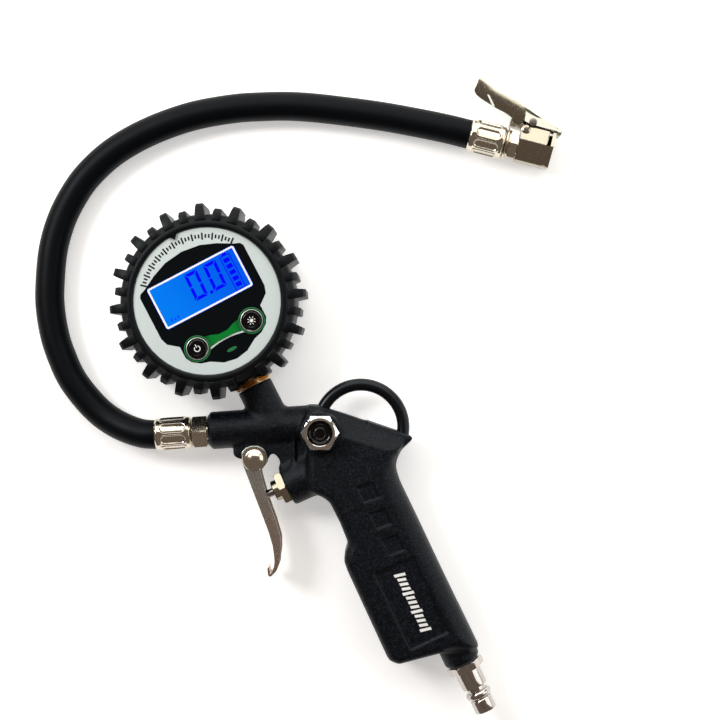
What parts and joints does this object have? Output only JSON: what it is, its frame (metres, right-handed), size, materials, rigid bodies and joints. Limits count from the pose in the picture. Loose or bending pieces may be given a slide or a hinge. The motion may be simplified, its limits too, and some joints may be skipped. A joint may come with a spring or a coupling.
{
  "type": "tyre inflator with gauge",
  "caption": "Pistol-grip tyre inflator with a digital gauge in a ribbed rubber boot, a trigger valve, a plug inlet, and a rubber hose with a clip-on chuck.",
  "frame": {"origin": "centre of the gauge's back, on the surface that the tool lies on", "axes": "+Z out of the gauge's face, +X from the barrel's hose end towards the grip, +Y away from the grip, from the gun towards the gauge"},
  "size_m": [0.2265, 0.2717, 0.0346],
  "materials": {
    "gun_body": "black speckled powder coat on a casting",
    "hanging_loop": "black coated wire",
    "hose_fitting": "nickel plated",
    "rear_ferrule": "nickel plated, crimped",
    "hose": "smooth black rubber",
    "inlet_plug": "nickel plated steel",
    "inlet_seal": "white seal washer",
    "valve_gland": "nickel plated",
    "valve_stem": "bright steel",
    "valve_seal": "black rubber",
    "valve_spring": "spring steel",
    "port_bush": "bright plated",
    "bleed_button": "gloss black",
    "bleed_spring": "spring steel",
    "trigger": "nickel plated stamping",
    "trigger_rivet": "nickel plated",
    "case_front": "grey moulded plastic",
    "case_back": "black moulded plastic",
    "battery_door": "black moulded plastic",
    "door_screw": "zinc plated",
    "face_plate": "silver printed film",
    "face_panel": "gloss black print",
    "button_surround": "green print",
    "lcd_window": "tinted clear window",
    "power_button": "black",
    "light_button": "black",
    "circuit_board": "green solder mask",
    "lcd_panel": "blue backlit display",
    "lcd_carrier": "white moulded plastic",
    "power_switch": "black",
    "light_switch": "black",
    "pressure_sensor": "steel can",
    "gauge_stem": "turned brass",
    "battery_tray": "black moulded plastic",
    "battery_a": "plain sleeve",
    "battery_b": "plain sleeve",
    "contact_link": "nickel plated strip",
    "contact_a": "nickel plated strip",
    "contact_b": "nickel plated strip",
    "gauge_boot": "matt black rubber",
    "front_ferrule": "nickel plated, crimped",
    "chuck_neck": "nickel plated",
    "chuck_body": "nickel plated",
    "chuck_seal": "black rubber",
    "core_pin": "turned brass",
    "lever_pin": "steel rivet",
    "lever_spring": "spring steel",
    "chuck_lever": "nickel plated stamping"
  },
  "bodies": {
    "gun": {"gun_body": "gun_body", "hanging_loop": "hanging_loop", "hose_fitting": "hose_fitting", "rear_ferrule": "rear_ferrule", "hose": "hose", "inlet_plug": "inlet_plug", "inlet_seal": "inlet_seal", "valve_gland": "valve_gland", "valve_seal": "valve_seal", "valve_spring": "valve_spring", "port_bush": "port_bush", "bleed_spring": "bleed_spring", "trigger_rivet": "trigger_rivet", "case_front": "case_front", "case_back": "case_back", "battery_door": "battery_door", "door_screw": "door_screw", "face_plate": "face_plate", "face_panel": "face_panel", "button_surround": "button_surround", "lcd_window": "lcd_window", "circuit_board": "circuit_board", "lcd_panel": "lcd_panel", "lcd_carrier": "lcd_carrier", "power_switch": "power_switch", "light_switch": "light_switch", "pressure_sensor": "pressure_sensor", "gauge_stem": "gauge_stem", "battery_tray": "battery_tray", "battery_a": "battery_a", "battery_b": "battery_b", "contact_link": "contact_link", "contact_a": "contact_a", "contact_b": "contact_b", "gauge_boot": "gauge_boot", "front_ferrule": "front_ferrule", "chuck_neck": "chuck_neck", "chuck_body": "chuck_body", "chuck_seal": "chuck_seal", "core_pin": "core_pin", "lever_pin": "lever_pin", "lever_spring": "lever_spring"},
    "trigger": {"trigger": "trigger"},
    "valve_stem": {"valve_stem": "valve_stem"},
    "power_button": {"power_button": "power_button"},
    "light_button": {"light_button": "light_button"},
    "bleed_button": {"bleed_button": "bleed_button"},
    "chuck_lever": {"chuck_lever": "chuck_lever"}
  },
  "joints": [
    {"name": "trigger_pull", "type": "hinge", "parent": "gun", "child": "trigger", "pos_m": [0.0185, -0.066, 0.0125], "axis": [0, 0, 1], "range_deg": [0, 8], "stiffness_Nm_per_rad": 0.35, "springref_deg": -11.46},
    {"name": "stem_slide", "type": "slide", "parent": "gun", "child": "valve_stem", "axis": [0.9099, 0.4149, 0], "range_m": [0, 0.0025], "stiffness_N_per_m": 6, "springref_m": -0.001, "deforming": ["valve_spring"]},
    {"name": "power_button_press", "type": "slide", "parent": "gun", "child": "power_button", "axis": [0, 0, -1], "range_m": [0, 0.0006], "stiffness_N_per_m": 700, "springref_m": -0.0008},
    {"name": "light_button_press", "type": "slide", "parent": "gun", "child": "light_button", "axis": [0, 0, -1], "range_m": [0, 0.0006], "stiffness_N_per_m": 700, "springref_m": -0.0008},
    {"name": "bleed_button_press", "type": "slide", "parent": "gun", "child": "bleed_button", "axis": [0, 0, -1], "range_m": [0, 0.0015], "stiffness_N_per_m": 900, "springref_m": -0.001, "deforming": ["bleed_spring"]},
    {"name": "chuck_lever_squeeze", "type": "hinge", "parent": "gun", "child": "chuck_lever", "pos_m": [0.13695, 0.07711, 0.0084], "axis": [0, 0, 1], "range_deg": [0, 11], "stiffness_Nm_per_rad": 0.3, "springref_deg": -17.19, "deforming": ["lever_spring"]}
  ],
  "couplings": [
    {"joint": "stem_slide", "follows": "trigger_pull", "m_per_rad": 0.0171}
  ]
}
